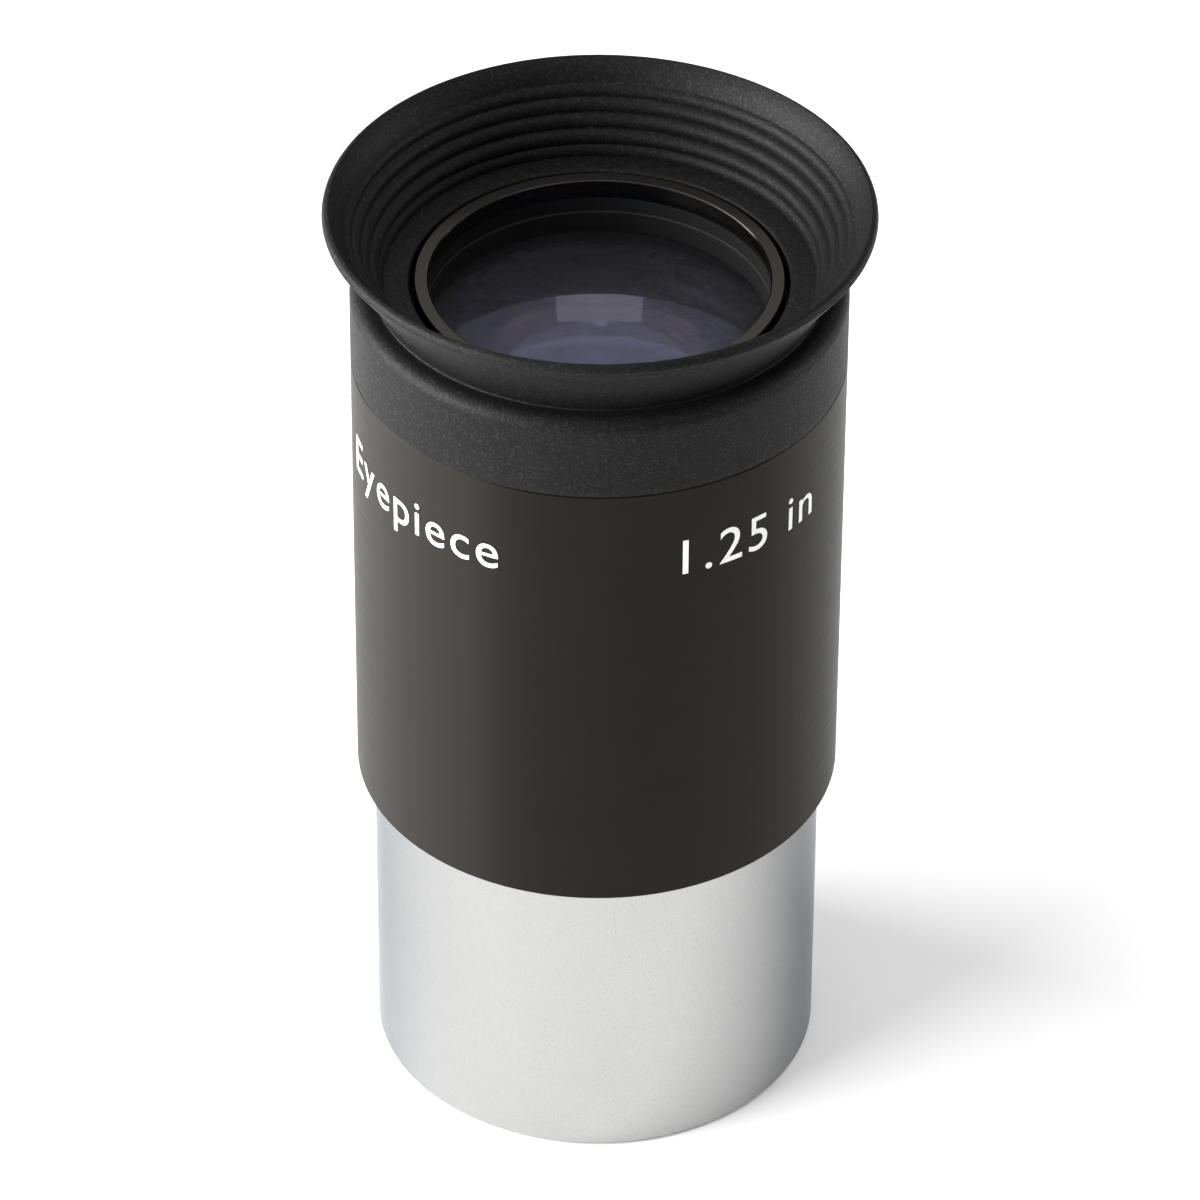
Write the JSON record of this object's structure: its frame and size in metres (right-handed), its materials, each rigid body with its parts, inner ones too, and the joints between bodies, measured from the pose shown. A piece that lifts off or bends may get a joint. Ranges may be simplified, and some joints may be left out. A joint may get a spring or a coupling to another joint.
{
  "type": "telescope eyepiece",
  "caption": "Telescope eyepiece with a slide-in chrome nose barrel, black body, lens pairs and a fold-down flared rubber eyecup.",
  "frame": {"origin": "centre of the nose barrel's lower rim, which the eyepiece stands on", "axes": "+Z along the optical axis towards the eye; round about Z, +Y away from the main lettering"},
  "size_m": [0.0378, 0.0378, 0.0709],
  "materials": {
    "chrome": "satin",
    "black_anodised": "satin, fine turned lines",
    "matte_black": "matte",
    "coated_glass": "polished, violet coating",
    "rubber": "matte, fine grain",
    "marking": "matte"
  },
  "bodies": {
    "barrel": {"nose_barrel": "chrome", "field_stop": "matte_black", "split_ring": "matte_black"},
    "lenses": {"eye_flint_lens": "coated_glass", "eye_crown_lens": "coated_glass", "lens_spacer": "matte_black", "field_crown_lens": "coated_glass", "field_flint_lens": "coated_glass"},
    "body": {"body_shell": "black_anodised", "eye_seat_ring": "matte_black", "lens_lock_ring": "matte_black", "eyecup_collar": "rubber", "eyecup_flare": "rubber"},
    "lip": {"eyecup_lip": "rubber"}
  },
  "joints": [
    {"name": "body_rise", "type": "slide", "parent": "barrel", "child": "lenses", "axis": [0, 0, 1], "range_m": [0, 0.0045]},
    {"name": "body_unscrew", "type": "hinge", "parent": "lenses", "child": "body", "pos_m": [0, 0, 0.024], "axis": [0, 0, 1], "range_deg": [0, 1620]},
    {"name": "eyecup_fold", "type": "slide", "parent": "body", "child": "lip", "axis": [0, 0, -1], "range_m": [0, 0.008], "deforming": ["eyecup_flare"]}
  ],
  "couplings": [
    {"joint": "body_rise", "follows": "body_unscrew", "m_per_rad": 0.00015915}
  ]
}
